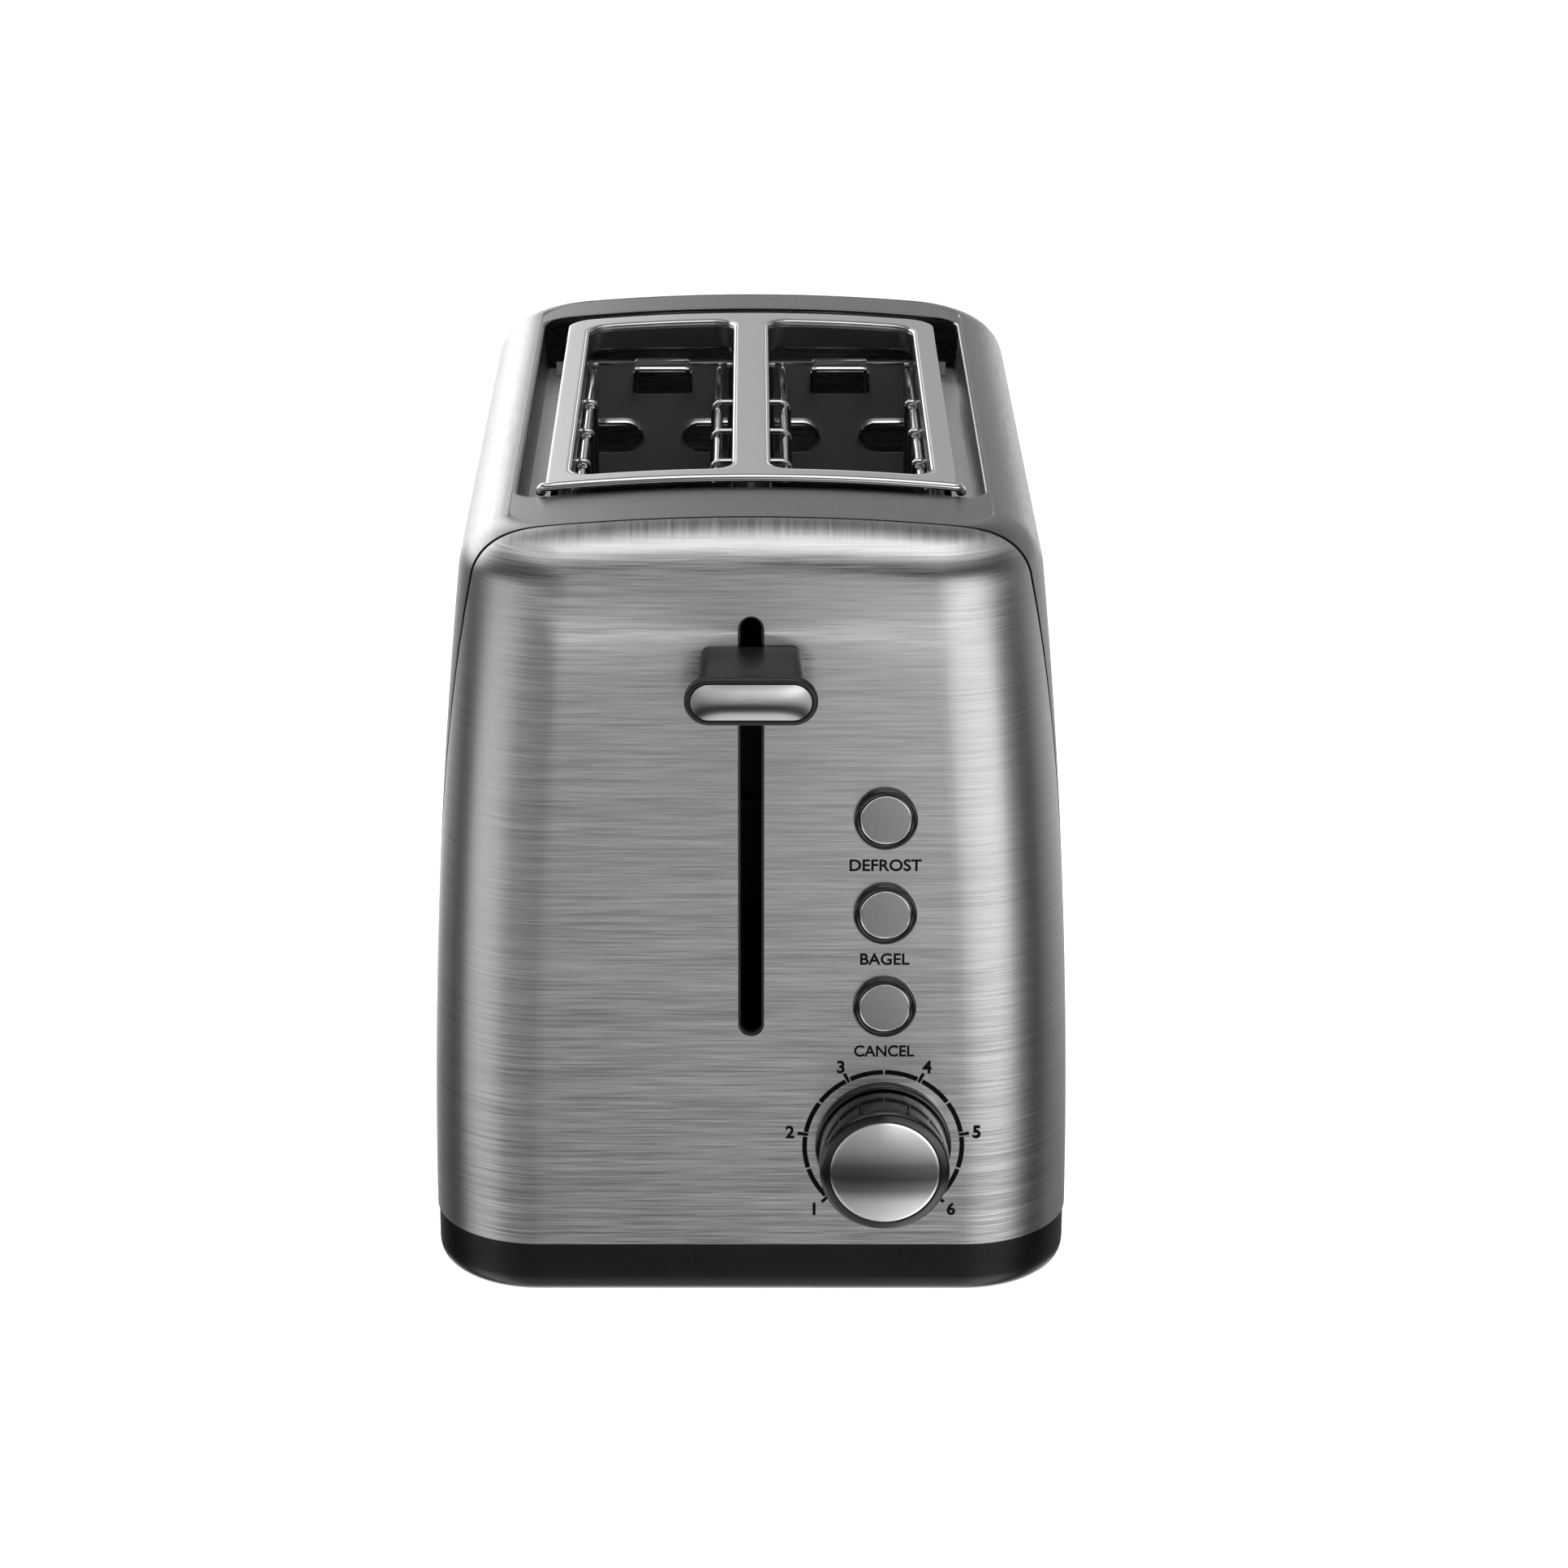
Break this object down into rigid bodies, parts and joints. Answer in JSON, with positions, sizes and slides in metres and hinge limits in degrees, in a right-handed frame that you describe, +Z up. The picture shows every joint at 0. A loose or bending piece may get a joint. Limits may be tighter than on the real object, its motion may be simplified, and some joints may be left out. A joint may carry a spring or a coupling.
{
  "type": "pop-up toaster",
  "caption": "Two-slot pop-up toaster with a brushed steel body on a black base, front lever, push buttons, browning dial and rear crumb tray.",
  "frame": {"origin": "centre of the footprint on the surface it stands on, dial knob and cord gland included", "axes": "+Z up; -Y out of the front panel with the lever and dial; +X to the right as seen from the front"},
  "size_m": [0.161, 0.2946, 0.2017],
  "materials": {
    "brushed_steel": "brushed sideways, satin",
    "satin_steel": "fine satin",
    "polished_steel": "satin with polished edges",
    "bright_steel": "bright mill finish",
    "zinc_steel": "zinc plated",
    "spring_steel": "bright drawn wire",
    "nichrome": "oxidised ribbon",
    "chrome": "mirror",
    "chrome_wire": "bright",
    "black_plastic": "semi-matte moulded",
    "gloss_black": "gloss",
    "satin_grey": "satin metallic grey",
    "white_plastic": "matte",
    "rubber": "matte",
    "mica": "layered mica sheet",
    "copper": "enamelled copper wire",
    "circuit_board": "solder mask"
  },
  "bodies": {
    "root": {"base_tray": "black_plastic", "feet": "rubber", "base_screws": "zinc_steel", "wrapper_shell": "satin_steel", "front_panel": "brushed_steel", "rear_panel": "brushed_steel", "slot_plate": "polished_steel", "chassis_front_plate": "bright_steel", "chassis_rear_plate": "bright_steel", "side_shield_left": "bright_steel", "side_shield_right": "bright_steel", "heater_board_left": "mica", "heater_board_centre": "mica", "heater_board_right": "mica", "heater_winding_left": "nichrome", "heater_winding_centre": "nichrome", "heater_winding_right": "nichrome", "guard_centre": "chrome_wire", "guide_rods": "zinc_steel", "return_spring_left": "spring_steel", "return_spring_right": "spring_steel", "magnet_core": "zinc_steel", "magnet_coil": "copper", "contact_block": "black_plastic", "slot_liner": "black_plastic", "control_carrier": "black_plastic", "control_board": "circuit_board", "button_switches": "gloss_black", "dial_control": "gloss_black", "defrost_bezel": "gloss_black", "bagel_bezel": "gloss_black", "cancel_bezel": "gloss_black", "dial_ring": "gloss_black", "terminal_block": "white_plastic", "cord_gland": "black_plastic"},
    "carriage": {"carriage": "zinc_steel", "armature_plate": "zinc_steel", "bread_rack_left": "chrome_wire", "bread_rack_right": "chrome_wire"},
    "lever": {"lever_arm": "zinc_steel", "lever_knob": "black_plastic", "lever_inlay": "chrome"},
    "guard_left": {"guard_left": "chrome_wire"},
    "guard_right": {"guard_right": "chrome_wire"},
    "dial": {"dial_knob": "gloss_black", "dial_cap": "chrome", "dial_shaft": "zinc_steel"},
    "defrost_button": {"defrost_button": "satin_grey"},
    "bagel_button": {"bagel_button": "satin_grey"},
    "cancel_button": {"cancel_button": "satin_grey"},
    "crumb_tray": {"crumb_tray": "bright_steel", "crumb_tray_pull": "black_plastic"}
  },
  "joints": [
    {"name": "carriage_slide", "type": "slide", "parent": "root", "child": "carriage", "axis": [0, 0, 1], "range_m": [-0.085, 0.007], "stiffness_N_per_m": 100, "springref_m": 0.0108, "deforming": ["return_spring_left", "return_spring_right"]},
    {"name": "lever_slide", "type": "slide", "parent": "root", "child": "lever", "axis": [0, 0.1228, 0.9924], "range_m": [-0.0858, 0.0072]},
    {"name": "guard_left_swing", "type": "hinge", "parent": "root", "child": "guard_left", "pos_m": [-0.0442, 0.00675, 0.034], "axis": [0, 1, 0], "range_deg": [-0.8, 7]},
    {"name": "guard_right_swing", "type": "hinge", "parent": "root", "child": "guard_right", "pos_m": [0.0442, 0.00675, 0.034], "axis": [0, -1, 0], "range_deg": [-0.8, 7]},
    {"name": "dial_turn", "type": "hinge", "parent": "root", "child": "dial", "pos_m": [0.033, -0.13175, 0.0437], "axis": [0, -1, 0], "range_deg": [-135, 135]},
    {"name": "defrost_press", "type": "slide", "parent": "root", "child": "defrost_button", "axis": [0, 1, 0], "range_m": [0, 0.002], "stiffness_N_per_m": 400, "springref_m": -0.002},
    {"name": "bagel_press", "type": "slide", "parent": "root", "child": "bagel_button", "axis": [0, 1, 0], "range_m": [0, 0.002], "stiffness_N_per_m": 400, "springref_m": -0.002},
    {"name": "cancel_press", "type": "slide", "parent": "root", "child": "cancel_button", "axis": [0, 1, 0], "range_m": [0, 0.002], "stiffness_N_per_m": 400, "springref_m": -0.002},
    {"name": "crumb_tray_slide", "type": "slide", "parent": "root", "child": "crumb_tray", "axis": [0, 1, 0], "range_m": [0, 0.2]}
  ],
  "couplings": [
    {"joint": "lever_slide", "follows": "carriage_slide", "ratio": 1.0076},
    {"joint": "guard_left_swing", "follows": "carriage_slide", "rad_per_m": -1.4},
    {"joint": "guard_right_swing", "follows": "carriage_slide", "rad_per_m": -1.4}
  ]
}
